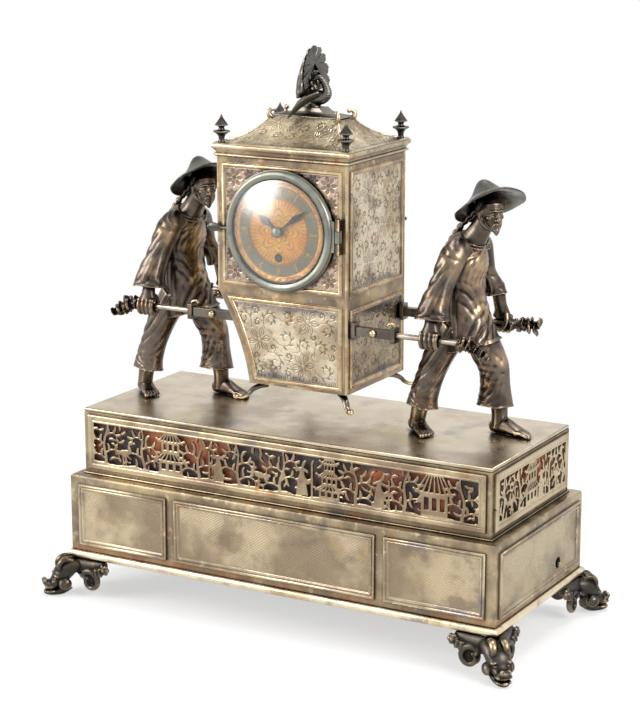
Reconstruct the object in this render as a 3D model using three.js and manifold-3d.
// Figural shelf clock: two porters on a two-tier brass base carry a sedan chair that holds the clock.
// Millimetres, +Z up, dial towards -Y, origin on the floor under the middle of the base.
import * as THREE from 'three';
import { mergeVertices } from 'three/addons/utils/BufferGeometryUtils.js';
import Module from 'manifold-3d';

const wasm = await Module();
wasm.setup();

// Base
const PLINTH_LENGTH = 325;
const PLINTH_DEPTH = 138;
const PLINTH_HEIGHT = 54;
const STAGE_LENGTH = 310;
const STAGE_DEPTH = 122;
const STAGE_WALL_HEIGHT = 44.4;
const STAGE_PLATE_THICKNESS = 2.6;
const MOULDING_HEIGHT = 6;
const MOULDING_OVERHANG = 2.7;
const FOOT_HEIGHT = 27;
const FOOT_INSET = 10;
const BOX_WALL = 2;
const BOARD_THICKNESS = 4;
const PANEL_MARGIN = 7;
const PANEL_GAP = 6.5;
const PANEL_SIDE_LENGTH = 72;
const PANEL_RISE = 4;
const PANEL_HEIGHT = 44;
const PANEL_BAND = 4.4;
const PANEL_PROUD = 1.6;
const KEYHOLE_DIAMETER = 6.4;
const KEYHOLE_Y = 29.6;
const KEYHOLE_RISE = 14;

// Pierced plates and their silk
const FRET_THICKNESS = 1.8;
const FRET_MARGIN_END = 3.5;
const FRET_MARGIN_FOOT = 4.5;
const FRET_MARGIN_TOP = 2;
const FRET_BORDER = 5;
const WINDOW_LAP = 3;
const SILK_THICKNESS = 0.8;

// Chair, which is the clock case
const CHAIR_X = -8.6;
const CHAIR_LENGTH = 98;
const CHAIR_DEPTH = 81;
const CHAIR_LIFT = 28;
const CHAIR_HEIGHT = 151;
const CHAIR_KNEE = 62;
const CHAIR_TUCK = 23.8;
const CHAIR_WALL = 1.6;
const FRAME_BAND = 2.4;
const FRAME_PROUD = 1;
const FRAME_MARGIN = 4;
const FRAME_RAIL = 10;
const CHAIR_LEG_DROP = 11;
const CORNICE_HEIGHT = 8;
const CORNICE_OVERHANG = 2.8;
const ROOF_HEIGHT = 17;
const ROOF_NECK_LENGTH = 47;
const ROOF_NECK_DEPTH = 35;
const CAP_HEIGHT = 6;
const HOOK_HEIGHT = 11;
const FINIAL_HEIGHT = 19.5;
const FINIAL_RADIUS = 5.6;
const FINIAL_INSET = 5.2;
const PEACOCK_HEIGHT = 41;

// Poles and porters
const POLE_RISE = 71;
const POLE_INSET = 6;
const POLE_SPREAD = CHAIR_DEPTH / 2 - POLE_INSET;
const POLE_DIAMETER = 3.8;
const SOCKET_LENGTH = 32;
const SOCKET_TALL = 7.6;
const SOCKET_DEEP = 6;
const COLLAR_TALL = 10;
const COLLAR_DEEP = 8;
const COLLAR_LENGTH = 4;
const SOCKET_BORE_DEPTH = 12;
const RIVET_DIAMETER = 4.8;
const LEAF_END_LENGTH = 26;
const LEAF_END_GIRTH = 3.4;
const NEAR_LEAF_DROOP = 8;
const FAR_LEAF_DROOP = 1;
// how far past each hand the leaves begin
const LEAD_NEAR_GAP = 21;
const LEAD_FAR_GAP = 8;
const REAR_NEAR_GAP = 9;
const REAR_FAR_GAP = 12;
const PORTER_HEIGHT = 171;
const LEAD_PORTER_X = 105;
const REAR_PORTER_X = -111;

// Clock
const DIAL_RISE = 133;
const BEZEL_DIAMETER = 81;
const BEZEL_BAND = 6;
const BEZEL_DEPTH = 4.7;
const DIAL_MARGIN = 1;
const DIAL_DIAMETER = BEZEL_DIAMETER - 2 * BEZEL_BAND - 2 * DIAL_MARGIN;
const DIAL_THICKNESS = 0.8;
const DIAL_STANDOFF = 2.7;
const GLASS_DOME = 7;
const GLASS_THICKNESS = 1.4;
const CASE_HOLE_DIAMETER = DIAL_DIAMETER - DIAL_MARGIN;
const HOLE_LAP = 3;
const PLATE_DIAMETER = CASE_HOLE_DIAMETER + 2 * HOLE_LAP;
const PLATE_THICKNESS = 2;
const PLATE_SPACING = 20;
const PILLAR_DIAMETER = 4;
const WINDING_DROP = 17.5;
const WINDING_HOLE_DIAMETER = 6.4;
const WINDING_SQUARE = 3;
const HINGE_LENGTH = 23;
const HINGE_RADIUS = 1.8;
const HINGE_PIN_RADIUS = 0.8;
const COVER_DIAMETER = CASE_HOLE_DIAMETER + 2 * HOLE_LAP;
const COVER_THICKNESS = 2.2;
const HAND_MARGIN = 7.5;
const MINUTE_HAND_LENGTH = DIAL_DIAMETER / 2 - HAND_MARGIN;
const HOUR_HAND_LENGTH = MINUTE_HAND_LENGTH - 8;
const MINUTES_PAST_TEN = 9;

// Clearance between pieces that are seated or screwed together, and of a wheel between its plates
const FIT = 0.3;
const END_SHAKE = 0.4;

// Levels of the base, from the floor up
const zMoulding = FOOT_HEIGHT;
const zPlinth = zMoulding + MOULDING_HEIGHT;
const zStage = zPlinth + PLINTH_HEIGHT;
const zPlate = zStage + STAGE_WALL_HEIGHT;
const zFloor = zPlate + STAGE_PLATE_THICKNESS;
const zChair = zFloor + CHAIR_LIFT;
const zCornice = zChair + CHAIR_HEIGHT;
const zRoof = zCornice + CORNICE_HEIGHT;
const zNeck = zRoof + ROOF_HEIGHT;
const zPole = zFloor + POLE_RISE;
const zDial = zFloor + DIAL_RISE;

const materials = {
  gilt: new THREE.MeshStandardMaterial({ color: 0xbfa878, roughness: 0.35, metalness: 1 }),
  plate: new THREE.MeshStandardMaterial({ color: 0xa89878, roughness: 0.25, metalness: 1 }),
  bronze: new THREE.MeshStandardMaterial({ color: 0x4a3f34, roughness: 0.4, metalness: 1 }),
  darkBronze: new THREE.MeshStandardMaterial({ color: 0x332d28, roughness: 0.45, metalness: 1 }),
  nickel: new THREE.MeshStandardMaterial({ color: 0x8b8b80, roughness: 0.35, metalness: 1 }),
  silvered: new THREE.MeshStandardMaterial({ color: 0xb8a488, roughness: 0.5, metalness: 1 }),
  steel: new THREE.MeshStandardMaterial({ color: 0x2c2a2e, roughness: 0.3, metalness: 1 }),
  brass: new THREE.MeshStandardMaterial({ color: 0xb8923e, roughness: 0.3, metalness: 1 }),
  glass: new THREE.MeshStandardMaterial({ color: 0xf4f6f4, roughness: 0.02, transparent: true, opacity: 0.3 }),
  silk: new THREE.MeshStandardMaterial({ color: 0x9a4a22, roughness: 0.8 }),
  wood: new THREE.MeshStandardMaterial({ color: 0x4a3324, roughness: 0.7 }),
};

const clock = new THREE.Group();

// Geometry helpers

// A solid for cutting and joining, from a geometry's positions with shared corners merged.
function solid(geometry) {
  const bare = geometry.clone();
  bare.deleteAttribute('normal');
  bare.deleteAttribute('uv');
  const merged = mergeVertices(bare, 1e-4);
  const index = merged.index.array;
  const triangles = [];
  for (let i = 0; i < index.length; i += 3) {
    const [a, b, c] = [index[i], index[i + 1], index[i + 2]];
    if (a !== b && b !== c && c !== a) triangles.push(a, b, c);
  }
  const vertProperties = new Float32Array(merged.attributes.position.array);
  return new wasm.Manifold(new wasm.Mesh({ numProp: 3, vertProperties, triVerts: new Uint32Array(triangles) }));
}

function join(...solids) {
  return solids.reduce((sum, next) => sum.add(next));
}

function cut(body, ...tools) {
  return tools.reduce((rest, tool) => rest.subtract(tool), body);
}

// Adds a finished solid to a group as a named mesh.
function addPiece(name, body, material, parent = clock) {
  const { vertProperties, triVerts } = body.getMesh();
  const geometry = new THREE.BufferGeometry();
  geometry.setAttribute('position', new THREE.BufferAttribute(new Float32Array(vertProperties), 3));
  geometry.setIndex(new THREE.BufferAttribute(new Uint32Array(triVerts), 1));
  geometry.computeVertexNormals();
  const mesh = new THREE.Mesh(geometry, material);
  mesh.name = name;
  parent.add(mesh);
  return mesh;
}

// A closed skin over a row of rings, each in step with the next, with flat ends.
function loft(rings) {
  const count = rings[0].length;
  const points = rings.flat();
  const faces = [];
  for (let ring = 0; ring + 1 < rings.length; ring++) {
    for (let i = 0; i < count; i++) {
      const a = ring * count + i;
      const b = ring * count + ((i + 1) % count);
      faces.push([a, b, b + count], [a, b + count, a + count]);
    }
  }
  const last = (rings.length - 1) * count;
  for (let i = 1; i + 1 < count; i++) {
    faces.push([0, i + 1, i], [last, last + i, last + i + 1]);
  }
  const cross = new THREE.Vector3();
  const volume = faces.reduce((sum, [a, b, c]) => sum + cross.crossVectors(points[a], points[b]).dot(points[c]), 0);
  const outward = volume > 0 ? faces : faces.map(([a, b, c]) => [a, c, b]);
  const geometry = new THREE.BufferGeometry().setFromPoints(points);
  geometry.setIndex(outward.flat());
  return solid(geometry);
}

// A limb along stations [x, y, z, half width along side, half depth across it], round or oval in section.
function limb(stations, side, sides, grow = 0) {
  const places = stations.map(([x, y, z]) => new THREE.Vector3(x, y, z));
  const rings = stations.map(([, , , wide, deep], i) => {
    const before = places[Math.max(i - 1, 0)];
    const after = places[Math.min(i + 1, places.length - 1)];
    const along = after.clone().sub(before).normalize();
    const across = side.clone().addScaledVector(along, -side.dot(along)).normalize();
    const depth = new THREE.Vector3().crossVectors(along, across);
    return Array.from({ length: sides }, (_, k) => {
      const turn = (2 * Math.PI * (k + 0.5)) / sides;
      return places[i].clone()
        .addScaledVector(across, (wide + grow) * Math.cos(turn))
        .addScaledVector(depth, (deep + grow) * Math.sin(turn));
    });
  });
  return loft(rings);
}

// A rectangular stack of levels [half length, half depth, z], as a profile carried round a rectangle.
function stack(levels, x = 0) {
  return loft(levels.map(([a, b, z]) => [
    new THREE.Vector3(x - a, -b, z),
    new THREE.Vector3(x + a, -b, z),
    new THREE.Vector3(x + a, b, z),
    new THREE.Vector3(x - a, b, z),
  ]));
}

function block(x0, x1, y0, y1, z0, z1) {
  const box = new THREE.BoxGeometry(x1 - x0, y1 - y0, z1 - z0);
  return solid(box.translate((x0 + x1) / 2, (y0 + y1) / 2, (z0 + z1) / 2));
}

// A round bar along Y at (x, z), from y0 to y1.
function barY(x, z, y0, y1, radius, sides) {
  const bar = new THREE.CylinderGeometry(radius, radius, y1 - y0, sides);
  return solid(bar.translate(x, (y0 + y1) / 2, z));
}

// A round bar along X at (y, z), from x0 to x1.
function barX(y, z, x0, x1, radius, sides) {
  const bar = new THREE.CylinderGeometry(radius, radius, x1 - x0, sides);
  return solid(bar.rotateZ(Math.PI / 2).translate((x0 + x1) / 2, y, z));
}

// A round bar along Z at (x, y), from z0 to z1.
function barZ(x, y, z0, z1, radius, sides) {
  const bar = new THREE.CylinderGeometry(radius, radius, z1 - z0, sides);
  return solid(bar.rotateX(Math.PI / 2).translate(x, y, (z0 + z1) / 2));
}

// A turned piece about Z from a profile of [radius, height].
function turnedZ(profile, sides) {
  const points = profile.map(([r, h]) => new THREE.Vector2(r, h));
  return solid(new THREE.LatheGeometry(points, sides).rotateX(Math.PI / 2));
}

// A turned piece about Y at (x, z) from a profile of [radius, y].
function turnedY(profile, x, z, sides) {
  const points = profile.map(([r, y]) => new THREE.Vector2(r, y));
  return solid(new THREE.LatheGeometry(points, sides).translate(x, 0, z));
}

const faceXZ = new THREE.Matrix4().makeBasis(
  new THREE.Vector3(1, 0, 0), new THREE.Vector3(0, 0, 1), new THREE.Vector3(0, -1, 0));
const faceYZ = new THREE.Matrix4().makeBasis(
  new THREE.Vector3(0, 1, 0), new THREE.Vector3(0, 0, 1), new THREE.Vector3(1, 0, 0));

// A shape drawn in X and Z, from y0 to y1.
function plateXZ(shape, y0, y1, curveSegments = 6) {
  const plate = new THREE.ExtrudeGeometry(shape, { depth: y1 - y0, bevelEnabled: false, curveSegments });
  return solid(plate.applyMatrix4(faceXZ).translate(0, y1, 0));
}

// A shape drawn in Y and Z, from x0 to x1.
function plateYZ(shape, x0, x1, curveSegments = 6) {
  const plate = new THREE.ExtrudeGeometry(shape, { depth: x1 - x0, bevelEnabled: false, curveSegments });
  return solid(plate.applyMatrix4(faceYZ).translate(x0, 0, 0));
}

function rectangle(a0, a1, b0, b1) {
  return new THREE.Shape([
    new THREE.Vector2(a0, b0),
    new THREE.Vector2(a1, b0),
    new THREE.Vector2(a1, b1),
    new THREE.Vector2(a0, b1),
  ]);
}

function rectangleRing(a0, a1, b0, b1, band) {
  const ring = rectangle(a0, a1, b0, b1);
  ring.holes.push(rectangle(a0 + band, a1 - band, b0 + band, b1 - band));
  return ring;
}

// A raised frame with sloping flanks on a wall at y, standing out by proud along -Y or +Y.
function raisedFrame(x0, x1, z0, z1, band, y, proud, out) {
  const root = y - out * 0.5;
  const slope = proud * 0.6;
  const ring = (a0, a1, b0, b1, level) => [
    new THREE.Vector3(a0, level, b0),
    new THREE.Vector3(a1, level, b0),
    new THREE.Vector3(a1, level, b1),
    new THREE.Vector3(a0, level, b1),
  ];
  const outer = loft([
    ring(x0, x1, z0, z1, root),
    ring(x0, x1, z0, z1, y),
    ring(x0 + slope, x1 - slope, z0 + slope, z1 - slope, y + out * proud),
  ]);
  const inner = loft([
    ring(x0 + band, x1 - band, z0 + band, z1 - band, root - out),
    ring(x0 + band, x1 - band, z0 + band, z1 - band, y),
    ring(x0 + band - slope, x1 - band + slope, z0 + band - slope, z1 - band + slope, y + out * proud),
    ring(x0 + band - slope, x1 - band + slope, z0 + band - slope, z1 - band + slope, y + out * (proud + 1)),
  ]);
  return cut(outer, inner);
}

// The same frame on an end wall: drawn as if on the front, then turned a quarter about Z.
function raisedEndFrame(y0, y1, z0, z1, band, x, proud, out) {
  const [near, far] = out > 0 ? [y0, y1] : [-y1, -y0];
  return raisedFrame(near, far, z0, z1, band, -out * x, proud, -1).rotate([0, 0, out > 0 ? 90 : -90]);
}

// Base: moulding, plinth, stage and floor board

const plinthA = PLINTH_LENGTH / 2;
const plinthB = PLINTH_DEPTH / 2;
const stageA = STAGE_LENGTH / 2;
const stageB = STAGE_DEPTH / 2;

function makeMoulding() {
  const out = MOULDING_OVERHANG;
  const profile = [
    [0.2, 0], [0.2, 0.22], [0.75, 0.3], [1, 0.45], [1, 0.65], [0.75, 0.82], [0.35, 0.9], [0, 1],
  ];
  const body = stack(profile.map(([o, h]) => [
    plinthA + out * o, plinthB + out * o, zMoulding + MOULDING_HEIGHT * h,
  ]));
  const inA = plinthA - BOX_WALL;
  const inB = plinthB - BOX_WALL;
  const well = block(-inA, inA, -inB, inB, zMoulding - 1, zPlinth + 1);
  addPiece('plinth_moulding', cut(body, well), materials.gilt);
  const boardA = inA - FIT;
  const boardB = inB - FIT;
  const board = block(-boardA, boardA, -boardB, boardB, zMoulding, zMoulding + BOARD_THICKNESS);
  addPiece('base_board', board, materials.wood);
}

function makePlinth() {
  const inA = plinthA - BOX_WALL;
  const inB = plinthB - BOX_WALL;
  const ledgeA = stageA - BOX_WALL;
  const ledgeB = stageB - BOX_WALL;
  const edge = 0.8;
  const shell = cut(
    stack([
      [plinthA, plinthB, zPlinth], [plinthA, plinthB, zStage - edge], [plinthA - edge, plinthB - edge, zStage],
    ]),
    block(-inA, inA, -inB, inB, zPlinth - 1, zStage - BOX_WALL),
    block(-ledgeA, ledgeA, -ledgeB, ledgeB, zPlinth, zStage + 1),
  );
  const z0 = zPlinth + PANEL_RISE;
  const z1 = z0 + PANEL_HEIGHT;
  const left = -plinthA + PANEL_MARGIN;
  const right = plinthA - PANEL_MARGIN;
  const spans = [
    [left, left + PANEL_SIDE_LENGTH],
    [left + PANEL_SIDE_LENGTH + PANEL_GAP, right - PANEL_SIDE_LENGTH - PANEL_GAP],
    [right - PANEL_SIDE_LENGTH, right],
  ];
  const frames = [];
  for (const [x0, x1] of spans) {
    frames.push(raisedFrame(x0, x1, z0, z1, PANEL_BAND, -plinthB, PANEL_PROUD, -1));
    frames.push(raisedFrame(x0, x1, z0, z1, PANEL_BAND, plinthB, PANEL_PROUD, 1));
  }
  const endB = plinthB - PANEL_MARGIN + 2;
  for (const out of [-1, 1]) {
    frames.push(raisedEndFrame(-endB, endB, z0, z1, PANEL_BAND, out * plinthA, PANEL_PROUD, out));
  }
  const keyhole = barX(KEYHOLE_Y, zPlinth + KEYHOLE_RISE, plinthA - 4, plinthA + 4, KEYHOLE_DIAMETER / 2, 16);
  addPiece('plinth', cut(join(shell, ...frames), keyhole), materials.gilt);
}

// The pierced plates' outlines, shared by the windows behind them
const fretZ0 = zStage + FRET_MARGIN_FOOT;
const fretZ1 = zPlate - FRET_MARGIN_TOP;
const frontFretA = stageA - FRET_MARGIN_END;
const endFretB = stageB - FRET_MARGIN_END;
const windowZ0 = fretZ0 + WINDOW_LAP;
const windowZ1 = fretZ1 - WINDOW_LAP;

function makeStage() {
  const inA = stageA - BOX_WALL;
  const inB = stageB - BOX_WALL;
  const frontWindowA = frontFretA - WINDOW_LAP;
  const endWindowB = endFretB - WINDOW_LAP;
  const walls = cut(
    block(-stageA, stageA, -stageB, stageB, zStage, zPlate),
    block(-inA, inA, -inB, inB, zStage - 1, zPlate + 1),
    block(-frontWindowA, frontWindowA, -stageB - 1, 0, windowZ0, windowZ1),
    block(-stageA - 1, stageA + 1, -endWindowB, endWindowB, windowZ0, windowZ1),
  );
  const backFrame = raisedFrame(-frontFretA, frontFretA, fretZ0, fretZ1, FRET_BORDER, stageB, FRET_THICKNESS, 1);
  addPiece('stage_box', join(walls, backFrame), materials.gilt);

  const edge = STAGE_PLATE_THICKNESS * 0.3;
  const plate = stack([
    [stageA - edge, stageB - edge, zPlate],
    [stageA, stageB, zPlate + edge],
    [stageA, stageB, zFloor - edge],
    [stageA - edge, stageB - edge, zFloor],
  ]);
  addPiece('stage_plate', plate, materials.plate);

  const silkA = inA - FIT;
  const silkB = inB - FIT;
  const silkZ0 = windowZ0 - WINDOW_LAP;
  const silkZ1 = windowZ1 + WINDOW_LAP;
  const silk = cut(
    block(-silkA, silkA, -silkB, silkB, silkZ0, silkZ1),
    block(-silkA + SILK_THICKNESS, silkA - SILK_THICKNESS, -silkB + SILK_THICKNESS, silkB - SILK_THICKNESS,
      silkZ0 - 1, silkZ1 + 1),
  );
  addPiece('silk_lining', silk, materials.silk);
}

// Fret motifs, drawn in the plate's own plane: a along it, b up from the foot of its window

// A tapering stroke with the given half widths along a row of points.
function stroke(points, widths) {
  const left = [];
  const right = [];
  points.forEach((point, i) => {
    const before = points[Math.max(i - 1, 0)];
    const after = points[Math.min(i + 1, points.length - 1)];
    const along = after.clone().sub(before).normalize();
    const normal = new THREE.Vector2(-along.y, along.x);
    left.push(point.clone().addScaledVector(normal, widths[i]));
    right.unshift(point.clone().addScaledVector(normal, -widths[i]));
  });
  return new THREE.Shape([...left, ...right]);
}

// A branch that leaves (a, b) along heading and curls inwards to a knob.
function scroll(a, b, heading, length, turn) {
  const steps = 4;
  const points = [new THREE.Vector2(a, b)];
  const widths = [1];
  for (let i = 0; i < steps; i++) {
    const share = i / (steps - 1);
    const angle = heading + turn * share * (0.45 + 0.55 * share);
    const step = (length / steps) * (1.35 - 0.7 * share);
    const tip = points[i];
    points.push(new THREE.Vector2(tip.x + step * Math.cos(angle), tip.y + step * Math.sin(angle)));
    widths.push(i === steps - 1 ? 1.05 : 0.95 - 0.35 * share);
  }
  return stroke(points, widths);
}

function tree(a, height, lean) {
  const trunk = new THREE.SplineCurve([
    new THREE.Vector2(a, -1),
    new THREE.Vector2(a + lean * 0.15, height * 0.35),
    new THREE.Vector2(a + lean * 0.8, height * 0.7),
    new THREE.Vector2(a + lean, height + 1.5),
  ]);
  const steps = 3;
  const spine = trunk.getPoints(steps);
  const shapes = [stroke(spine, spine.map((_, i) => 1.7 - 0.9 * (i / steps)))];
  const up = Math.PI / 2;
  const branches = [[0.32, 1, 12], [0.46, -1, 13], [0.66, 1, 11]];
  for (const [at, hand, length] of branches) {
    const root = trunk.getPoint(at);
    shapes.push(scroll(root.x, root.y, up - hand * 0.75, length, -hand * 4.2));
  }
  return shapes;
}

// An upswept roof of the given width with its eaves at (a, b).
function sweptRoof(a, b, width, height) {
  const roof = new THREE.Shape();
  const half = width / 2;
  roof.moveTo(a - half - 1.5, b + 1.6);
  roof.quadraticCurveTo(a - half * 0.6, b - 0.4, a, b);
  roof.quadraticCurveTo(a + half * 0.6, b - 0.4, a + half + 1.5, b + 1.6);
  roof.quadraticCurveTo(a + half * 0.4, b + height * 0.35, a, b + height);
  roof.quadraticCurveTo(a - half * 0.4, b + height * 0.35, a - half - 1.5, b + 1.6);
  return roof;
}

function pavilion(a, width, height) {
  const shapes = [sweptRoof(a, height * 0.62, width, height * 0.3)];
  const half = width * 0.42;
  for (const post of [-half, half]) {
    shapes.push(rectangle(a + post - 0.8, a + post + 0.8, -1, height * 0.68));
  }
  shapes.push(rectangle(a - half, a + half, height * 0.2, height * 0.27));
  shapes.push(rectangle(a - 0.8, a + 0.8, height * 0.85, height + 2));
  return shapes;
}

function pagoda(a, width, height) {
  const tier = height / 3;
  const shapes = [];
  for (let i = 0; i < 3; i++) {
    const w = width * (1 - 0.24 * i);
    shapes.push(sweptRoof(a, tier * (i + 0.55), w, tier * 0.5));
    shapes.push(rectangle(a - w * 0.3, a - w * 0.3 + 1.4, tier * i - 1, tier * (i + 0.65)));
    shapes.push(rectangle(a + w * 0.3 - 1.4, a + w * 0.3, tier * i - 1, tier * (i + 0.65)));
  }
  shapes.push(rectangle(a - 0.7, a + 0.7, tier * 2.8, height + 2));
  return shapes;
}

// A small standing figure in a long coat and a wide hat.
function walker(a, height) {
  const h = height;
  const coat = new THREE.Shape([
    new THREE.Vector2(a - 0.26 * h, -1),
    new THREE.Vector2(a + 0.26 * h, -1),
    new THREE.Vector2(a + 0.14 * h, 0.45 * h),
    new THREE.Vector2(a + 0.16 * h, 0.7 * h),
    new THREE.Vector2(a, 0.82 * h),
    new THREE.Vector2(a - 0.16 * h, 0.7 * h),
    new THREE.Vector2(a - 0.14 * h, 0.45 * h),
  ]);
  const hat = new THREE.Shape([
    new THREE.Vector2(a - 0.2 * h, 0.78 * h),
    new THREE.Vector2(a + 0.2 * h, 0.78 * h),
    new THREE.Vector2(a, h),
  ]);
  return [coat, hat];
}

// A fret plate's shapes: border, ground and motifs inside a window from -half to half.
function fretShapes(half, height, motifs) {
  const rim = FRET_BORDER;
  const border = rectangleRing(-half - rim, half + rim, -rim, height + rim, rim);
  const ground = new THREE.Shape();
  ground.moveTo(-half - 1, -1);
  ground.lineTo(half + 1, -1);
  ground.lineTo(half + 1, 3);
  const hills = Math.max(2, Math.round(half / 24));
  for (let i = hills; i > 0; i--) {
    const x0 = -half + (2 * half * i) / hills;
    const x1 = -half + (2 * half * (i - 1)) / hills;
    ground.quadraticCurveTo((x0 + x1) / 2, i % 2 ? 4.4 : 1.2, x1, 2.6);
  }
  ground.lineTo(-half - 1, 2.6);
  return [border, ground, ...motifs];
}

function frontMotifs(half, height) {
  const pitch = half / 4.1;
  return [
    ...pavilion(-3.55 * pitch, 26, height),
    ...tree(-2.6 * pitch, height, 6),
    ...walker(-2 * pitch, 14),
    ...tree(-1.3 * pitch, height, -5),
    ...walker(-0.7 * pitch, 14),
    ...pagoda(0, 26, height),
    ...tree(1.1 * pitch, height, -5),
    ...walker(1.7 * pitch, 14),
    ...tree(2.4 * pitch, height, 5),
    ...pavilion(3.55 * pitch, 26, height),
  ];
}

function endMotifs(half, height) {
  const pitch = half / 2;
  return [
    ...tree(-1.55 * pitch, height, 5),
    ...walker(-0.9 * pitch, 13),
    ...pavilion(0, 28, height),
    ...walker(0.9 * pitch, 13),
    ...tree(1.55 * pitch, height, -5),
  ];
}

function makeFrets() {
  const height = fretZ1 - fretZ0 - 2 * FRET_BORDER;
  const rise = fretZ0 + FRET_BORDER;
  const frontHalf = frontFretA - FRET_BORDER;
  const front = fretShapes(frontHalf, height, frontMotifs(frontHalf, height))
    .map((shape) => plateXZ(shape, -stageB - FRET_THICKNESS, -stageB, 2));
  addPiece('front_fret', join(...front).translate([0, 0, rise]), materials.gilt);
  const endHalf = endFretB - FRET_BORDER;
  for (const [name, x] of [['right_fret', stageA], ['left_fret', -stageA - FRET_THICKNESS]]) {
    const end = fretShapes(endHalf, height, endMotifs(endHalf, height))
      .map((shape) => plateYZ(shape, x, x + FRET_THICKNESS, 2));
    addPiece(name, join(...end).translate([0, 0, rise]), materials.gilt);
  }
}

// Feet: a beast's head on each corner, with a volute running back under each wall

function makeFeet() {
  const lateral = new THREE.Vector3(0, 1, 0);
  const up = new THREE.Vector3(0, 0, 1);
  const top = FOOT_HEIGHT - FIT;
  const h = top / 26.7;
  const head = limb([
    [-11, 0, 22 * h, 8, 6.5], [0, 0, 21.5 * h, 10.5, 6.8], [8, 0, 16.5 * h, 9.6, 8], [13, 0, 9.5 * h, 7, 7],
    [17.5, 0, 4.8 * h, 6.2, 6], [22, 0, 2.4 * h, 5, 3.6],
  ], lateral, 6);
  const forehead = limb([
    [7.5, -9, 19 * h, 2.2, 2.2], [9.8, -4, 20.5 * h, 5.8, 5.8], [9.8, 4, 20.5 * h, 5.8, 5.8],
    [7.5, 9, 19 * h, 2.2, 2.2],
  ], up, 5);
  const parts = [head, forehead];
  for (const hand of [-1, 1]) {
    parts.push(limb([
      [6, 7 * hand, 14 * h, 4, 5.4], [0, 12.5 * hand, 12 * h, 5, 6.2], [-6, 16 * hand, 16 * h, 4.6, 5.8],
      [-13, 21 * hand, 20.6 * h, 4, 4.6], [-20, 26.6 * hand, 21 * h, 2.8, 3.4],
    ], new THREE.Vector3(1, hand, 0).normalize(), 5));
  }
  const room = block(-60, 60, -60, 60, 0, top);
  const foot = join(...parts).intersect(room);
  const cornerX = plinthA + MOULDING_OVERHANG - FOOT_INSET;
  const cornerY = plinthB + MOULDING_OVERHANG - FOOT_INSET;
  const corners = [
    ['foot_front_right', 1, -1, -0.25], ['foot_back_right', 1, 1, 0.25],
    ['foot_back_left', -1, 1, 0.75], ['foot_front_left', -1, -1, -0.75],
  ];
  for (const [name, sx, sy, turn] of corners) {
    const mesh = addPiece(name, foot, materials.darkBronze);
    mesh.position.set(sx * cornerX, sy * cornerY, 0);
    mesh.rotation.z = turn * Math.PI;
  }
}

// Chair: the case, its legs, cornice, roof and crest

const chairLeft = CHAIR_X - CHAIR_LENGTH / 2;
const chairRight = CHAIR_X + CHAIR_LENGTH / 2;
const chairB = CHAIR_DEPTH / 2;
const chairFoot = chairLeft + CHAIR_TUCK;
const zKnee = zChair + CHAIR_KNEE;

// The case seen from the front, drawn in by inset: straight right side, left side tucked in below the knee.
function chairOutline(inset) {
  const shape = new THREE.Shape();
  shape.moveTo(chairFoot + inset, zChair + inset);
  shape.lineTo(chairRight - inset, zChair + inset);
  shape.lineTo(chairRight - inset, zCornice - inset);
  shape.lineTo(chairLeft + inset, zCornice - inset);
  shape.lineTo(chairLeft + inset, zKnee);
  shape.quadraticCurveTo(chairFoot - 3.5 + inset, zKnee - CHAIR_KNEE * 0.55, chairFoot + inset, zChair + inset);
  return shape;
}

// The lower front frame follows the tucked side.
function lowerFrameOutline(inset) {
  const top = zKnee - FRAME_MARGIN - inset;
  const foot = zChair + FRAME_MARGIN * 0.6 + inset;
  const shape = new THREE.Shape();
  shape.moveTo(chairFoot + FRAME_MARGIN + inset, foot);
  shape.lineTo(chairRight - FRAME_MARGIN - inset, foot);
  shape.lineTo(chairRight - FRAME_MARGIN - inset, top);
  shape.lineTo(chairLeft + FRAME_MARGIN + 3.5 + inset, top);
  shape.quadraticCurveTo(chairFoot + inset, zKnee - CHAIR_KNEE * 0.55, chairFoot + FRAME_MARGIN + inset, foot);
  return shape;
}

// Fixed half of a hinge: two knuckles on a leaf, and the pin through them.
function fixedHinge(x, y, wallY) {
  const half = HINGE_LENGTH / 2;
  const third = HINGE_LENGTH / 6 + FIT;
  const parts = [barZ(x, y, zDial - half, zDial + half, HINGE_PIN_RADIUS, 6)];
  const [y0, y1] = wallY < y ? [wallY - 0.5, y] : [y, wallY + 0.5];
  for (const [z0, z1] of [[zDial - half, zDial - third], [zDial + third, zDial + half]]) {
    parts.push(barZ(x, y, z0, z1, HINGE_RADIUS, 8));
    parts.push(block(x - HINGE_RADIUS, x + HINGE_RADIUS, y0, y1, z0, z1));
  }
  return join(...parts);
}

// Moving knuckle of a hinge with the arm that ties it to a disc at reach.
function movingKnuckle(x, y, reach, y0, y1) {
  const third = HINGE_LENGTH / 6;
  const arm = block(Math.min(x, reach), Math.max(x, reach), y0, y1, zDial - third, zDial + third);
  const knuckle = join(barZ(x, y, zDial - third, zDial + third, HINGE_RADIUS, 8), arm);
  return cut(knuckle, barZ(x, y, zDial - HINGE_LENGTH, zDial + HINGE_LENGTH, HINGE_PIN_RADIUS + FIT, 8));
}

const bezelBackY = -chairB - FRAME_PROUD - FIT;
const bezelHingeX = CHAIR_X + BEZEL_DIAMETER / 2 + HINGE_RADIUS + 1.3;
const bezelHingeY = bezelBackY - HINGE_RADIUS;
const coverHingeX = CHAIR_X - COVER_DIAMETER / 2 - HINGE_RADIUS - 1.2;
const coverHingeY = chairB + FIT + HINGE_RADIUS;

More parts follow.
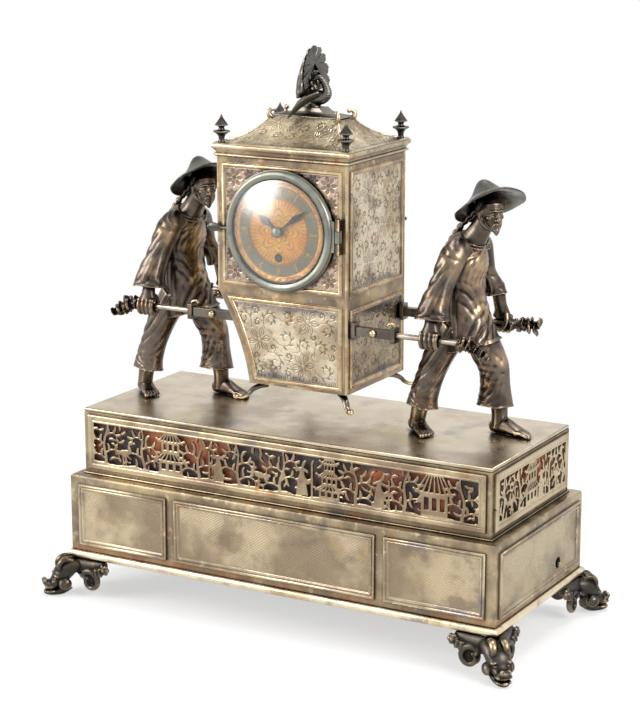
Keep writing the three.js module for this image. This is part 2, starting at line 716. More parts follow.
function makeChair() {
  const inner = plateXZ(chairOutline(CHAIR_WALL), -chairB + CHAIR_WALL, chairB - CHAIR_WALL, 6);
  const holeR = CASE_HOLE_DIAMETER / 2;
  const shell = cut(
    plateXZ(chairOutline(0), -chairB, chairB, 6),
    inner,
    barY(CHAIR_X, zDial, -chairB - 1, chairB + 1, holeR, 24),
  );
  const x0 = chairLeft + FRAME_MARGIN;
  const x1 = chairRight - FRAME_MARGIN;
  const z0 = zKnee + FRAME_MARGIN;
  const z1 = zCornice - FRAME_MARGIN;
  const b = chairB - FRAME_MARGIN;
  const lowZ0 = zChair + FRAME_MARGIN;
  const lowZ1 = z0 - FRAME_RAIL;
  const parts = [shell];
  for (const out of [-1, 1]) {
    parts.push(raisedFrame(x0, x1, z0, z1, FRAME_BAND, out * chairB, FRAME_PROUD, out));
    const low = lowerFrameOutline(0);
    low.holes.push(lowerFrameOutline(FRAME_BAND));
    const [near, far] = out > 0 ? [chairB - 0.5, chairB + FRAME_PROUD] : [-chairB - FRAME_PROUD, -chairB + 0.5];
    parts.push(plateXZ(low, near, far, 5));
  }
  parts.push(raisedEndFrame(-b, b, z0, z1, FRAME_BAND, chairRight, FRAME_PROUD, 1));
  parts.push(raisedEndFrame(-b, b, lowZ0, lowZ1, FRAME_BAND, chairRight, FRAME_PROUD, 1));
  parts.push(raisedEndFrame(-b, b, z0, z1, FRAME_BAND, chairLeft, FRAME_PROUD, -1));
  parts.push(fixedHinge(bezelHingeX, bezelHingeY, -chairB));
  parts.push(fixedHinge(coverHingeX, coverHingeY, chairB));
  addPiece('chair_body', join(...parts), materials.gilt);

  const lateral = new THREE.Vector3(0, 0, 1);
  const reach = CHAIR_LEG_DROP;
  for (const [sy, depthName] of [[-1, 'front'], [1, 'back']]) {
    for (const [sx, sideName] of [[-1, 'left'], [1, 'right']]) {
      const rootX = sx > 0 ? chairRight - 6 : chairFoot + 6;
      const rootY = sy * (chairB - 6);
      const step = (out, drop, wide, deep) => [rootX + sx * out, rootY + sy * out, zChair - FIT - drop, wide, deep];
      const leg = limb([
        step(-3, 2, 2, 3.6), step(1, 2.4, 2.2, 3.4), step(4.5, reach * 0.42, 2, 3),
        step(7, reach * 0.72, 1.7, 2.8),
        step(10, reach * 0.86, 1.5, 2.8), step(12.5, reach * 0.78, 1, 2),
      ], lateral, 7);
      const below = block(chairLeft - 60, chairRight + 60, -chairB - 60, chairB + 60, zChair - 60, zChair - FIT);
      addPiece(`chair_leg_${depthName}_${sideName}`, leg.intersect(below), materials.gilt);
    }
  }
}

function makeRoof() {
  const a = CHAIR_LENGTH / 2;
  const b = CHAIR_DEPTH / 2;
  const out = CORNICE_OVERHANG;
  const h = CORNICE_HEIGHT;
  const profile = [[0.1, 0], [0.3, 0.25], [0.65, 0.32], [0.3, 0.42], [0.4, 0.62], [0.85, 0.78], [1, 0.82], [1, 1]];
  addPiece('cornice', stack(profile.map(([o, t]) => [a + out * o, b + out * o, zCornice + h * t]), CHAIR_X),
    materials.gilt);

  const eavesA = a + out - 1;
  const eavesB = b + out - 1;
  const neckA = ROOF_NECK_LENGTH / 2;
  const neckB = ROOF_NECK_DEPTH / 2;
  const sweep = [[1, 0], [0.93, 0.05], [0.64, 0.18], [0.36, 0.4], [0.14, 0.7], [0, 1]];
  const levels = sweep.map(([o, t]) => [
    neckA + (eavesA - neckA) * o, neckB + (eavesB - neckB) * o, zRoof + ROOF_HEIGHT * t,
  ]);
  const capRings = [[1.02, 0], [1.02, 0.12], [0.7, 0.3], [0.46, 0.6], [0.36, 1]]
    .map(([o, t]) => [neckA * o, neckB * o, zNeck + CAP_HEIGHT * t]);
  const parts = [stack([...levels, ...capRings], CHAIR_X)];
  const across = new THREE.Vector3(0, 0, 1);
  for (const sx of [-1, 1]) {
    for (const sy of [-1, 1]) {
      const step = (outward, rise, wide, deep) => [
        CHAIR_X + sx * (neckA - 1 + outward), sy * (neckB - 1 + outward), zNeck + rise, wide, deep,
      ];
      const t = HOOK_HEIGHT;
      parts.push(limb([
        step(-1, -t * 0.35, 1.6, 2), step(1.8, -t * 0.18, 1.5, 1.9), step(2.4, t * 0.25, 1.4, 1.7),
        step(0.8, t * 0.6, 1.3, 1.5), step(-1.4, t * 0.52, 1.1, 1.2),
      ], across, 5));
    }
  }
  addPiece('roof', join(...parts), materials.gilt);

  const r = FINIAL_RADIUS;
  const f = FINIAL_HEIGHT;
  const finial = turnedZ([
    [0, 0], [r * 0.42, 0], [r * 0.4, f * 0.2], [r * 0.6, f * 0.36], [r, f * 0.42], [r * 0.36, f * 0.5],
    [r * 0.36, f * 0.57], [r * 0.78, f * 0.63], [0, f],
  ], 7);
  const cornerA = a + out - FINIAL_INSET;
  const cornerB = b + out - FINIAL_INSET;
  for (const [sy, depthName] of [[-1, 'front'], [1, 'back']]) {
    for (const [sx, sideName] of [[-1, 'left'], [1, 'right']]) {
      const seat = join(...parts, stack([[a + out, b + out, zCornice], [a + out, b + out, zRoof]], CHAIR_X));
      const placed = finial.translate([CHAIR_X + sx * cornerA, sy * cornerB, zRoof]);
      addPiece(`finial_${depthName}_${sideName}`, cut(placed, seat.translate([0, 0, FIT])), materials.darkBronze);
    }
  }
}

// A peacock with its tail spread behind it and its wings held low, walking towards +X.
function makePeacock() {
  const lateral = new THREE.Vector3(0, 1, 0);
  const s = PEACOCK_HEIGHT / 41;
  const base = zNeck + CAP_HEIGHT + FIT;
  const at = ([x, y, z, wide, deep]) => [CHAIR_X + x * s, y * s, base + z * s, wide * s, deep * s];
  const trunk = limb([
    [-7, 0, 6, 3, 3], [-3, 0, 7.5, 5.4, 5.4], [2, 0, 8.5, 6.2, 6], [6, 0, 10.5, 4.8, 4.8],
    [7.4, 0, 15, 3, 3], [6.2, 0, 19.5, 2.1, 2.1], [5.4, 0, 22.5, 2.2, 2.2], [7, 0, 24.5, 1.7, 1.7],
    [10, 0, 24.2, 0.5, 0.5],
  ].map(at), lateral, 6);
  const stand = limb([[1, 0, 0, 4.5, 6], [1, 0, 3, 3.4, 4.4], [1, 0, 6, 3, 4]].map(at), lateral, 6);
  const lobes = 8;
  const spread = 4.2;
  const fanRing = (size, x) => {
    const ring = [new THREE.Vector3(CHAIR_X + x * s, 0, base + (18.5 - 9 * size) * s)];
    for (let i = 0; i <= 2 * lobes; i++) {
      const lean = (i / (2 * lobes) - 0.5) * spread;
      const d = size * (i % 2 ? 22.5 : 19.5) * s;
      ring.push(new THREE.Vector3(CHAIR_X + x * s, Math.sin(lean) * d, base + 18.5 * s + Math.cos(lean) * d));
    }
    return ring;
  };
  const fan = loft([fanRing(0.5, -7.5), fanRing(1, -3.5), fanRing(1, -5), fanRing(0.5, -9)]);
  const wings = [-1, 1].map((hand) => limb([
    [3, 5 * hand, 11, 1.2, 3], [-3, 7.5 * hand, 8, 1.3, 4], [-11, 9.5 * hand, 3.2, 1.1, 3],
    [-19, 11 * hand, -1.2, 0.8, 1],
  ].map(at), lateral, 5));
  const below = stack([
    [CHAIR_LENGTH, CHAIR_DEPTH, zRoof - 1],
    [CHAIR_LENGTH, CHAIR_DEPTH, base],
  ], CHAIR_X);
  addPiece('peacock', cut(join(trunk, stand, fan, ...wings), below), materials.darkBronze);
}

// Poles: a square socket on each end of the chair, and a rod with a leafy end in it

// The leafy end starts a little beyond the hand, at leafX, and hangs by droop at its tip.
function makePole(name, sx, sy, leafX, droop) {
  const y = sy * POLE_SPREAD;
  const faceX = sx > 0 ? chairRight + FRAME_PROUD + FIT : chairFoot - CHAIR_TUCK;
  const endX = sx > 0 ? faceX + SOCKET_LENGTH : chairFoot - CHAIR_TUCK / 2 - FIT - SOCKET_LENGTH - 6;
  const rootX = sx > 0 ? faceX : chairFoot;
  const span = (from, to, deep, tall) => block(Math.min(from, to), Math.max(from, to), y - deep / 2, y + deep / 2,
    zPole - tall / 2, zPole + tall / 2);
  const rivet = new THREE.SphereGeometry(RIVET_DIAMETER / 2, 6, 4)
    .translate((rootX + endX) / 2, y + sy * (SOCKET_DEEP / 2 + 0.6), zPole);
  const hook = limb([
    [endX - sx * 1.5, y, zPole + COLLAR_TALL * 0.42, 1.4, 1.2],
    [endX - sx * 2, y, zPole + COLLAR_TALL * 0.62, 1.3, 1],
    [endX - sx * 4.5, y, zPole + COLLAR_TALL * 0.72, 1.2, 0.9],
    [endX - sx * 6.5, y, zPole + COLLAR_TALL * 0.6, 1, 0.7],
  ], new THREE.Vector3(0, 1, 0), 4);
  const radius = POLE_DIAMETER / 2;
  const mouth = endX - sx * SOCKET_BORE_DEPTH;
  const bore = barX(y, zPole, Math.min(mouth, endX + sx), Math.max(mouth, endX + sx), radius + FIT, 8);
  let socket = join(
    span(rootX, endX, SOCKET_DEEP, SOCKET_TALL),
    span(endX - sx * COLLAR_LENGTH, endX, COLLAR_DEEP, COLLAR_TALL),
    solid(rivet),
    hook,
  );
  if (sx > 0) socket = join(socket, span(rootX, rootX + 3, COLLAR_DEEP, COLLAR_TALL + 1));
  const chairRoom = plateXZ(chairOutline(-FIT), -chairB, chairB, 6);
  addPiece(`pole_socket_${name}`, cut(socket, bore, chairRoom), materials.gilt);

  const from = mouth + sx * FIT;
  const rod = barX(y, zPole, Math.min(from, leafX), Math.max(from, leafX), radius, 6);
  const side = new THREE.Vector3(0, 0, 1);
  const g = LEAF_END_GIRTH;
  const leaves = [[0, 0, 0], [0.2, 0.65, 0.7], [0.12, -0.7, -0.6]].map(([start, dy, dz]) => {
    const step = (t, out, wide) => {
      const reach = start + t * (1 - start);
      return [
        leafX + sx * (LEAF_END_LENGTH * reach - radius),
        y + dy * g * out,
        zPole + dz * g * out - droop * reach * reach,
        wide * g,
        wide * g * 0.9,
      ];
    };
    return limb([step(0, 0.2, 0.5), step(0.3, 1.1, 1), step(0.7, 1.5, 0.95), step(1, 1.3, 0.3)], side, 5);
  });
  addPiece(`pole_${name}`, join(rod, ...leaves), materials.bronze);
}

// Porters, both from one pattern: stations are for a figure 171 mm tall, standing with its origin between its feet
const porterScale = PORTER_HEIGHT / 171;

function scaled(stations) {
  return stations.map((station) => station.map((value) => value * porterScale));
}

const TUNIC = [
  [5.5, 2.5, 63.5, 19.5, 17.5], [3.6, 2.5, 75, 18.4, 16.6], [0.8, 2.5, 91, 17.4, 15.8],
  [-2, 2.5, 106, 18.6, 16],
  [-1.4, 2.5, 117, 19.6, 15.8], [0.5, 2.5, 126, 16.5, 13], [3.4, 2.5, 133, 9, 8.4],
];
const REAR_TROUSER = [
  [-5, -4, 72, 10.5, 11], [-13.6, -6, 57, 9.6, 10], [-20, -7.5, 41, 9.4, 10.2], [-24, -8, 28, 9.8, 11],
  [-25.8, -8, 20.5, 10.4, 11.8],
];
const FRONT_TROUSER = [
  [5, 7, 72, 10.5, 11], [10.4, 12, 58, 10, 10.6], [14.2, 15, 46, 9.6, 10.6], [15.4, 16.4, 33, 10, 11.4],
  [15.4, 17, 20.5, 10.8, 13],
];
const REAR_SHIN = [[-25.6, -7.6, 28, 5.4, 5.8], [-28.8, -6.6, 15, 4.6, 5.2], [-31.4, -4.6, 5, 4.8, 6]];
const FRONT_SHIN = [[16.4, 17.2, 28, 5.4, 5.8], [18.4, 18, 15, 4.6, 5.4], [17.6, 18.6, 5, 4.8, 6.4]];
const REAR_SOLE = [
  [-38.5, 1.6, 4, 2.6, 3.4], [-35.5, -0.8, 4.6, 4.4, 5], [-29, -5.8, 5, 5, 5.8],
  [-23, -10.6, 3, 6.2, 3.8], [-18.4, -14, 1.6, 5.6, 2.2],
];
const FRONT_SOLE = [
  [11, 19, 4, 2.6, 3.4], [15, 18.9, 4.6, 4.4, 5], [22, 18.5, 5, 5, 5.8], [32, 17.7, 3, 6.2, 3.8],
  [41, 17, 1.4, 5.2, 2],
];
const NEAR_UPPER_ARM = [[1.5, -11, 128, 6.5, 7.5], [-1, -17.5, 121, 8.2, 9], [-4, -24.5, 106, 8, 8.4]];
const FAR_UPPER_ARM = [[2, 16, 128, 6.5, 7.5], [2.6, 22.5, 120, 8.2, 9], [5, 27, 104, 8, 8.2]];
const HEAD_PLACE = [17, 0.5, 149.5];
const HEAD_TURN = -0.57;
const HEAD_RINGS = [
  [4.6, 2.8, 3, -11.4], [3.4, 6, 5, -9.2], [1.4, 8.8, 7, -5], [0.4, 10.2, 8.1, 0], [-0.2, 10.4, 8.5, 5],
  [-0.6, 8.6, 7.2, 9], [-0.8, 4, 3.6, 11.4],
];
const HAT_TILT = 0.6;
const HAT_RADIUS = 23.6;
const HAT_PROFILE = [
  [0, -0.4], [HAT_RADIUS - 0.4, -2], [HAT_RADIUS, -1], [15, 1.4], [11, 6], [6.4, 14.6], [3, 16.8], [0, 17],
];

function porterHead() {
  const s = porterScale;
  const rings = HEAD_RINGS.map(([x, depth, wide, z]) => Array.from({ length: 8 }, (_, k) => {
    const turn = (2 * Math.PI * (k + 0.5)) / 8;
    return new THREE.Vector3(
      (x + depth * Math.cos(turn)) * s, wide * Math.sin(turn) * s, z * s);
  }));
  const lateral = new THREE.Vector3(0, 1, 0);
  const nose = limb(scaled([
    [9.4, 0, 3, 0.8, 0.8], [11.4, 0, -1.6, 1.6, 1.4], [9.6, 0, -3.2, 1.4, 1],
  ]), lateral, 5);
  const beard = limb(scaled([
    [5, 0, -8, 3.2, 3.6], [7.2, 0, -12.4, 2.2, 2.2], [8, 0, -16.4, 0.6, 0.6],
  ]), lateral, 6);
  const [x, y, z] = HEAD_PLACE.map((value) => value * s);
  const turn = THREE.MathUtils.radToDeg(HEAD_TURN);
  const face = join(loft(rings), nose, beard).rotate([0, 0, turn]).translate([x, y, z]);
  const neck = limb(scaled([
    [3, 2.2, 127, 7.6, 7.4], [8.5, 1.6, 136, 6.6, 6.8], [14.5, 1, 146, 6.4, 6.8],
  ]), lateral, 6);
  const plait = limb(scaled([
    [8, 4, 152, 2.6, 2.4], [0, 4, 145.5, 2.5, 2.2], [-12, 2.8, 130, 2.2, 1.9], [-18.6, 2.4, 118, 1.6, 1.4],
  ]), lateral, 4);
  const hat = turnedZ(HAT_PROFILE.map(([r, h]) => [r * s, h * s]), 12)
    .rotate([0, THREE.MathUtils.radToDeg(-HAT_TILT), 0])
    .rotate([0, 0, turn])
    .translate([x - 1.4 * s, y + 1 * s, z + 6 * s]);
  return join(face, neck, plait, hat);
}

function makePorter(name, x) {
  const group = new THREE.Group();
  group.position.set(x, 0, zFloor);
  clock.add(group);
  const lateral = new THREE.Vector3(0, 1, 0);
  const rearSide = new THREE.Vector3(0.6, 0.8, 0);
  const tunic = limb(scaled(TUNIC), lateral, 8);
  const ground = block(-200, 200, -200, 200, 0, 2 * PORTER_HEIGHT);
  const soles = join(limb(scaled(REAR_SOLE), rearSide, 5), limb(scaled(FRONT_SOLE), lateral, 5)).intersect(ground);
  const body = join(
    tunic,
    limb(scaled(REAR_TROUSER), lateral, 7),
    limb(scaled(FRONT_TROUSER), lateral, 7),
    limb(scaled(REAR_SHIN), lateral, 5),
    limb(scaled(FRONT_SHIN), lateral, 5),
    soles,
  ).intersect(ground);
  addPiece(`${name}_body`, body, materials.bronze, group);

  const tunicRoom = limb(scaled(TUNIC), lateral, 8, FIT);
  addPiece(`${name}_head`, cut(porterHead(), tunicRoom), materials.bronze, group);

  const radius = POLE_DIAMETER / 2;
  const arms = [['near_arm', -1, NEAR_UPPER_ARM, -7], ['far_arm', 1, FAR_UPPER_ARM, 11]];
  for (const [armName, hand, upperArm, handX] of arms) {
    const y = hand * POLE_SPREAD;
    const px = handX * porterScale;
    const cuff = [
      [px + 0.4, y - hand * 3.5, POLE_RISE + 21, 8.4, 10], [px, y - hand * 2, POLE_RISE + 13, 8.6, 12.2],
    ];
    const sleeve = limb([...scaled(upperArm), ...cuff], lateral, 7);
    const fist = limb([
      [px, y - hand * 3, POLE_RISE + 19, 4, 4.6], [px, y - hand, POLE_RISE + 9, 4, 4.8],
      [px, y, POLE_RISE + 3, 5, 7.2],
      [px, y, POLE_RISE - 5.5, 4.4, 6.6],
    ], lateral, 6);
    const grip = barX(y, POLE_RISE, -100, 100, radius + FIT, 6);
    addPiece(`${name}_${armName}`, cut(join(sleeve, fist), grip, tunicRoom), materials.bronze, group);
  }
  return { near: x - 7 * porterScale, far: x + 11 * porterScale };
}

// Clock: bezel, dial, hands, motion work and going train, all turning about axes along Y

// A toothed disc about Y at (x, z): pointed teeth on a pitch circle, one of them on the angle given.
function toothed(teeth, pitchRadius, x, z, y0, y1, angle) {
  const module = (2 * pitchRadius) / teeth;
  const tip = pitchRadius + 0.6 * module;
  const root = pitchRadius - 1.3 * module;
  const outline = new THREE.Shape(Array.from({ length: 2 * teeth }, (_, k) => {
    const turn = angle + (Math.PI * k) / teeth;
    const r = k % 2 ? root : tip;
    return new THREE.Vector2(x + r * Math.cos(turn), z + r * Math.sin(turn));
  }));
  return plateXZ(outline, y0, y1);
}

// Angle of the line from one axis to another, both [x, z]
function towards(from, to) {
  return Math.atan2(to[1] - from[1], to[0] - from[0]);
}

// The angle that puts a gap of a follower on the line to its driver
function gapTowards(own, driver, teeth) {
  return towards(own, driver) + Math.PI / teeth;
}

const frontPlateY0 = -chairB + CHAIR_WALL + FIT;
const frontPlateY1 = frontPlateY0 + PLATE_THICKNESS;
const backPlateY0 = frontPlateY1 + PLATE_SPACING;
const backPlateY1 = backPlateY0 + PLATE_THICKNESS;
const dialY1 = -chairB - DIAL_STANDOFF;
const dialY0 = dialY1 - DIAL_THICKNESS;

// Train counts: great wheel to centre pinion, centre to third, third to fourth, fourth to escape
const TRAIN = {
  barrel: 42, centrePinion: 6, centre: 48, thirdPinion: 6, third: 45, fourthPinion: 6, fourth: 60, escapePinion: 6,
};
const MOTION = { cannon: 8, minute: 24, minutePinion: 6, hour: 24 };
const CENTRE_TO_THIRD = 13.5;
const THIRD_TO_FOURTH = 11.5;
const FOURTH_TO_ESCAPE = 10.5;
const ESCAPE_TO_BALANCE = 8.6;
const CANNON_TO_MINUTE = 8;
const ESCAPE_RADIUS = 6;
const BALANCE_RADIUS = 8.5;
const ARBOR_RADIUS = 0.9;
const PIVOT_RADIUS = 0.7;
const WHEEL_THICKNESS = 1.2;

function axisFrom([x, z], distance, degrees) {
  const turn = THREE.MathUtils.degToRad(degrees);
  return [x + distance * Math.cos(turn), z + distance * Math.sin(turn)];
}

const axes = {};
axes.centre = [CHAIR_X, zDial];
axes.barrel = [CHAIR_X, zDial - WINDING_DROP];
axes.third = axisFrom(axes.centre, CENTRE_TO_THIRD, 45);
axes.fourth = axisFrom(axes.third, THIRD_TO_FOURTH, 135);
axes.escape = axisFrom(axes.fourth, FOURTH_TO_ESCAPE, 200);
axes.balance = axisFrom(axes.escape, ESCAPE_TO_BALANCE, 200);
axes.minute = axisFrom(axes.centre, CANNON_TO_MINUTE, 0);

// An arbor between the plates with a pivot in each
function arbor([x, z]) {
  return join(
    barY(x, z, frontPlateY1 + END_SHAKE, backPlateY0 - END_SHAKE, ARBOR_RADIUS, 6),
    barY(x, z, frontPlateY0 + END_SHAKE, backPlateY1 - END_SHAKE, PIVOT_RADIUS, 6),
  );
}

function share(distance, own, other) {
  return (distance * own) / (own + other);
}

function makeTrain() {
  const layerCentre = frontPlateY1 + 1.2;
  const layerThird = frontPlateY1 + 9;
  const layerFourth = backPlateY0 - 3.6;
  const layerGreat = backPlateY0 - 6.4;
  const thick = WHEEL_THICKNESS;
  const leaf = 0.6;

  const barrelPitch = share(WINDING_DROP, TRAIN.barrel, TRAIN.centrePinion);
  const barrelDrum = barrelPitch - 1.8;
  const [bx, bz] = axes.barrel;
  const barrelFront = layerCentre + thick + 1;
  const barrel = cut(
    join(
      barY(bx, bz, barrelFront, layerGreat, barrelDrum, 14),
      toothed(TRAIN.barrel, barrelPitch, bx, bz, layerGreat, layerGreat + thick, towards(axes.barrel, axes.centre)),
    ),
    barY(bx, bz, barrelFront - 1, layerGreat + thick + 1, ARBOR_RADIUS + FIT, 8),
  );
  addPiece('spring_barrel', barrel, materials.brass);

  const squareY = dialY0 - 0.6;
  const winding = join(
    barY(bx, bz, dialY1 + 0.6, backPlateY1 - END_SHAKE, ARBOR_RADIUS, 10),
    block(bx - WINDING_SQUARE / 2, bx + WINDING_SQUARE / 2, squareY, frontPlateY0 - FIT - 1.6,
      bz - WINDING_SQUARE / 2, bz + WINDING_SQUARE / 2),
    toothed(12, 5, bx, bz, frontPlateY0 - FIT - 1.6, frontPlateY0 - FIT, 0),
  );
  addPiece('winding_arbor', winding, materials.steel);

  const wheelSet = (name, axis, ...toothedParts) => {
    addPiece(name, join(arbor(axis), ...toothedParts), materials.brass);
  };
  const [cx, cz] = axes.centre;
  const centrePitch = share(CENTRE_TO_THIRD, TRAIN.centre, TRAIN.thirdPinion);
  wheelSet('centre_wheel', axes.centre,
    toothed(TRAIN.centre, centrePitch, cx, cz, layerCentre, layerCentre + thick, towards(axes.centre, axes.third)),
    toothed(TRAIN.centrePinion, WINDING_DROP - barrelPitch, cx, cz, layerGreat - leaf, layerGreat + thick + leaf,
      gapTowards(axes.centre, axes.barrel, TRAIN.centrePinion)),
    barY(cx, cz, dialY0 - 1.6, frontPlateY1, PIVOT_RADIUS, 8),
  );

  const [tx, tz] = axes.third;
  const thirdPitch = share(THIRD_TO_FOURTH, TRAIN.third, TRAIN.fourthPinion);
  wheelSet('third_wheel', axes.third,
    toothed(TRAIN.third, thirdPitch, tx, tz, layerThird, layerThird + thick, towards(axes.third, axes.fourth)),
    toothed(TRAIN.thirdPinion, CENTRE_TO_THIRD - centrePitch, tx, tz, layerCentre - leaf, layerCentre + thick + leaf,
      gapTowards(axes.third, axes.centre, TRAIN.thirdPinion)),
  );

  const [fx, fz] = axes.fourth;
  const fourthPitch = share(FOURTH_TO_ESCAPE, TRAIN.fourth, TRAIN.escapePinion);
  wheelSet('fourth_wheel', axes.fourth,
    toothed(TRAIN.fourth, fourthPitch, fx, fz, layerFourth, layerFourth + thick, towards(axes.fourth, axes.escape)),
    toothed(TRAIN.fourthPinion, THIRD_TO_FOURTH - thirdPitch, fx, fz, layerThird - leaf, layerThird + thick + leaf,
      gapTowards(axes.fourth, axes.third, TRAIN.fourthPinion)),
  );

  const [ex, ez] = axes.escape;
  const layerEscape = layerFourth - 6;
  wheelSet('escape_wheel', axes.escape,
    toothed(15, ESCAPE_RADIUS, ex, ez, layerEscape, layerEscape + thick, 0),
    toothed(TRAIN.escapePinion, FOURTH_TO_ESCAPE - fourthPitch, ex, ez, layerFourth - leaf, layerFourth + thick + leaf,
      gapTowards(axes.escape, axes.fourth, TRAIN.escapePinion)),
  );

  const [wx, wz] = axes.balance;
  const rimY = backPlateY1 + 3;
  const rim = cut(
    barY(wx, wz, rimY, rimY + thick, BALANCE_RADIUS, 14),
    barY(wx, wz, rimY - 1, rimY + thick + 1, BALANCE_RADIUS - 1.6, 14),
  );
  const spoke = block(wx - BALANCE_RADIUS + 0.8, wx + BALANCE_RADIUS - 0.8, rimY, rimY + thick, wz - 0.8, wz + 0.8);
  const staff = barY(wx, wz, frontPlateY0 + END_SHAKE, rimY + thick + 2, PIVOT_RADIUS, 8);
  addPiece('balance_wheel', join(rim, spoke, staff), materials.brass);

  const footX = wx - 1;
  const footZ = wz - BALANCE_RADIUS - 3.4;
  const cockY = rimY + thick + 1;
  const cock = cut(
    join(
      block(footX - 3, footX + 3, backPlateY1 + FIT, cockY + 1.6, footZ - 2.4, footZ + 2.4),
      block(footX - 2, footX + 2.6, cockY, cockY + 1.6, footZ, wz + 2.4),
    ),
    barY(wx, wz, backPlateY1, cockY + 5, PIVOT_RADIUS + FIT, 8),
  );
  addPiece('balance_cock', cock, materials.brass);
}

function makePlates() {
  const r = PLATE_DIAMETER / 2;
  const [cx, cz] = axes.centre;
  const front = [barY(cx, cz, frontPlateY0, frontPlateY1, r, 20)];
  for (const degrees of [35, 145, 215, 325]) {
    const [px, pz] = axisFrom(axes.centre, r - 3.6, degrees);
    front.push(barY(px, pz, frontPlateY1 - 0.5, backPlateY0 - FIT, PILLAR_DIAMETER / 2, 6));
  }
  const [mx, mz] = axes.minute;
  front.push(barY(mx, mz, frontPlateY0 - 2.6, frontPlateY0 + 0.5, PIVOT_RADIUS, 8));
  const hole = ([x, z], radius) => barY(x, z, frontPlateY0 - 1, backPlateY1 + 1, radius + FIT, 6);
  const pivots = ['centre', 'third', 'fourth', 'escape', 'balance'].map((name) => hole(axes[name], PIVOT_RADIUS));
  const holes = [...pivots, hole(axes.barrel, ARBOR_RADIUS)];
  addPiece('front_plate', cut(join(...front), ...holes), materials.brass);
  addPiece('back_plate', cut(barY(cx, cz, backPlateY0, backPlateY1, r, 20), ...holes), materials.brass);
}

function makeMotionWork() {
  const [cx, cz] = axes.centre;
  const [mx, mz] = axes.minute;
  const pitch = (own, other) => share(CANNON_TO_MINUTE, own, other);
  const layerLow = frontPlateY0 - FIT - 1;
  const layerHigh = layerLow - 1.4;
  const pipeEnd = dialY0 - 2.8;
  const bore = (radius) => barY(cx, cz, pipeEnd - 5, frontPlateY0 + 1, radius, 8);
  const pipeRadius = PIVOT_RADIUS + FIT + 0.5;
  const cannon = join(
    toothed(MOTION.cannon, pitch(MOTION.cannon, MOTION.minute), cx, cz, layerLow, layerLow + 1,
      gapTowards(axes.centre, axes.minute, MOTION.cannon)),
    barY(cx, cz, pipeEnd, layerLow + 0.5, pipeRadius, 8),
  );
  addPiece('cannon_pinion', cut(cannon, bore(PIVOT_RADIUS + FIT)), materials.steel);

  const minute = join(
    toothed(MOTION.minute, pitch(MOTION.minute, MOTION.cannon), mx, mz, layerLow, layerLow + 1,
      towards(axes.minute, axes.centre)),
    toothed(MOTION.minutePinion, pitch(MOTION.minutePinion, MOTION.hour), mx, mz, layerHigh, layerLow + 0.2,
      gapTowards(axes.minute, axes.centre, MOTION.minutePinion)),
  );
  const minuteBore = barY(mx, mz, layerHigh - 5, layerLow + 5, PIVOT_RADIUS + FIT, 8);
  addPiece('minute_wheel', cut(minute, minuteBore), materials.brass);

  const hourPipe = pipeRadius + FIT + 0.5;
  const hourEnd = dialY0 - 1.3;
  const hour = join(
    toothed(MOTION.hour, pitch(MOTION.hour, MOTION.minutePinion), cx, cz, layerHigh, layerHigh + 1,
      towards(axes.centre, axes.minute)),
    barY(cx, cz, hourEnd, layerHigh + 0.5, hourPipe, 8),
  );
  addPiece('hour_wheel', cut(hour, bore(pipeRadius + FIT)), materials.brass);

  const dialHole = hourPipe + FIT;
  const feet = [90, 210, 330].map((degrees) => {
    const [px, pz] = axisFrom(axes.centre, CASE_HOLE_DIAMETER / 2 - 4, degrees);
    return barY(px, pz, dialY1 - 0.3, frontPlateY0 - FIT, 1.4, 6);
  });
  const dialPlate = barY(cx, cz, dialY0, dialY1, DIAL_DIAMETER / 2, 22);
  const dial = cut(join(dialPlate, ...feet),
    barY(cx, cz, dialY0 - 1, dialY1 + 1, dialHole, 8),
    barY(axes.barrel[0], axes.barrel[1], dialY0 - 1, dialY1 + 1, WINDING_HOLE_DIAMETER / 2, 10));
  addPiece('dial', dial, materials.silvered);

  const minuteTurn = (2 * Math.PI * MINUTES_PAST_TEN) / 60;
  const hourTurn = (2 * Math.PI * (10 + MINUTES_PAST_TEN / 60)) / 12;
  addPiece('hour_hand', makeHand(HOUR_HAND_LENGTH, hourTurn, hourEnd, hourPipe + FIT, 1.6), materials.steel);
  addPiece('minute_hand', makeHand(MINUTE_HAND_LENGTH, minuteTurn, pipeEnd, pipeRadius + FIT, 1.1), materials.steel);
}

// A leaf-shaped hand on the front end of its pipe, turned clockwise from twelve.
function makeHand(length, turn, pipeEnd, boreRadius, half) {
  const boss = boreRadius + 1.2;
  const leaf = new THREE.Shape();
  leaf.moveTo(-half * 0.6, 0);
  leaf.quadraticCurveTo(-half * 0.5, length * 0.4, -half, length * 0.55);
  leaf.quadraticCurveTo(-half * 2.2, length * 0.68, 0, length);
  leaf.quadraticCurveTo(half * 2.2, length * 0.68, half, length * 0.55);
  leaf.quadraticCurveTo(half * 0.5, length * 0.4, half * 0.6, 0);
  const thickness = 0.6;
  const hand = join(plateXZ(leaf, pipeEnd, pipeEnd + thickness, 4), barY(0, 0, pipeEnd, pipeEnd + 0.9, boss, 10));
  const bored = cut(hand, barY(0, 0, pipeEnd - 5, pipeEnd + 5, boreRadius, 8));
  return bored.rotate([0, THREE.MathUtils.radToDeg(turn), 0]).translate([CHAIR_X, 0, zDial]);
}

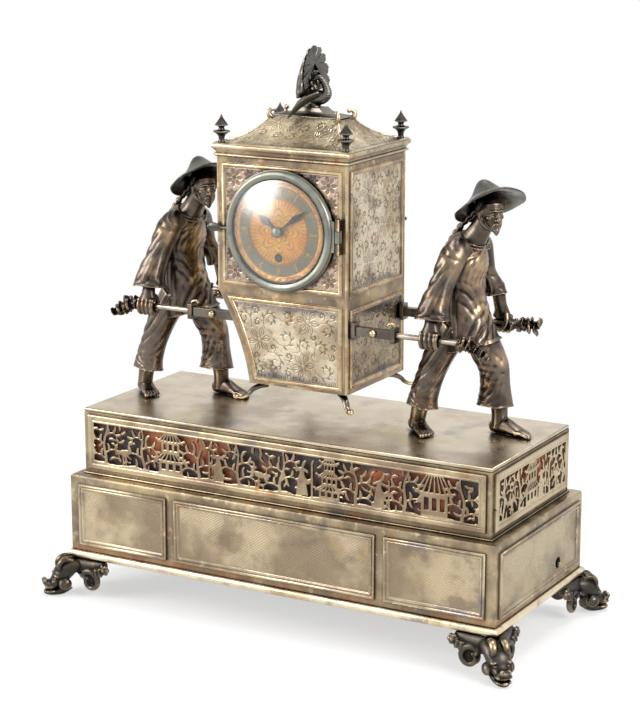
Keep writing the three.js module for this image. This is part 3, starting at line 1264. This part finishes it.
function makeDoors() {
  const r = BEZEL_DIAMETER / 2;
  const inner = r - BEZEL_BAND;
  const rebate = zDial - (zKnee + FRAME_MARGIN + FRAME_BAND) - FIT;
  const y = bezelBackY;
  const d = BEZEL_DEPTH;
  const ring = turnedY([
    [inner, y + FRAME_PROUD], [inner, y - d * 0.8], [r - 3, y - d], [r - 1, y - d * 0.8],
    [r, y - d * 0.4], [r, y],
    [rebate, y], [rebate, y + FRAME_PROUD], [inner, y + FRAME_PROUD],
  ], CHAIR_X, zDial, 20);
  const thumb = limb([
    [CHAIR_X - r + 2, y - 1.6, zDial - 1, 1.2, 1.2], [CHAIR_X - r - 3.5, y - 1.6, zDial - 1, 1, 1],
    [CHAIR_X - r - 7, y - 1.6, zDial - 1, 1.2, 2.8], [CHAIR_X - r - 11.5, y - 1.6, zDial - 1, 1.4, 3.2],
    [CHAIR_X - r - 14.5, y - 1.6, zDial - 1, 0.8, 1.2],
  ], new THREE.Vector3(0, 1, 0), 6);
  const knuckle = movingKnuckle(bezelHingeX, bezelHingeY, CHAIR_X + r - 1, y - d * 0.5, y - 0.4);
  addPiece('bezel', join(ring, thumb, knuckle), materials.nickel);

  const g = inner - FIT;
  const rimY = dialY0 - 2 * FIT;
  const dome = [0, 0.4, 0.75, 1];
  const outer = dome.map((t) => [g * t, rimY - GLASS_THICKNESS - GLASS_DOME * (1 - t * t)]);
  const under = dome.map((t) => [g * t, rimY - GLASS_DOME * (1 - t * t)]).reverse();
  addPiece('bezel_glass', turnedY([...outer, ...under], CHAIR_X, zDial, 20), materials.glass);

  const c = COVER_DIAMETER / 2;
  const y0 = chairB + FIT;
  const y1 = y0 + COVER_THICKNESS;
  const disc = turnedY([
    [0, y0], [c, y0], [c, y0 + COVER_THICKNESS * 0.6], [c - 1.2, y1], [c - 5, y1], [c - 6, y1 - 0.8],
    [0, y1 - 0.8],
  ], CHAIR_X, zDial, 18);
  const latch = limb([
    [CHAIR_X + c - 2, y0 + 1.1, zDial, 0.9, 1.2], [CHAIR_X + c + 4, y0 + 1.6, zDial, 0.9, 1],
    [CHAIR_X + c + 8, y0 + 2.4, zDial, 1.2, 2.6], [CHAIR_X + c + 13, y0 + 2.6, zDial, 0.8, 1.2],
  ], new THREE.Vector3(0, 1, 0), 6);
  const coverKnuckle = movingKnuckle(coverHingeX, coverHingeY, CHAIR_X - c + 1, y0, y0 + 1.6);
  addPiece('rear_cover', join(disc, latch, coverKnuckle), materials.gilt);
}

makeMoulding();
makePlinth();
makeStage();
makeFrets();
makeFeet();
makeChair();
makeRoof();
makePeacock();
const leadHands = makePorter('lead_porter', LEAD_PORTER_X);
const rearHands = makePorter('rear_porter', REAR_PORTER_X);
makePole('front_right', 1, -1, leadHands.near + LEAD_NEAR_GAP, NEAR_LEAF_DROOP);
makePole('back_right', 1, 1, leadHands.far + LEAD_FAR_GAP, FAR_LEAF_DROOP);
makePole('front_left', -1, -1, rearHands.near - REAR_NEAR_GAP, NEAR_LEAF_DROOP);
makePole('back_left', -1, 1, rearHands.far - REAR_FAR_GAP, FAR_LEAF_DROOP);
makeTrain();
makePlates();
makeMotionWork();
makeDoors();

export default clock;
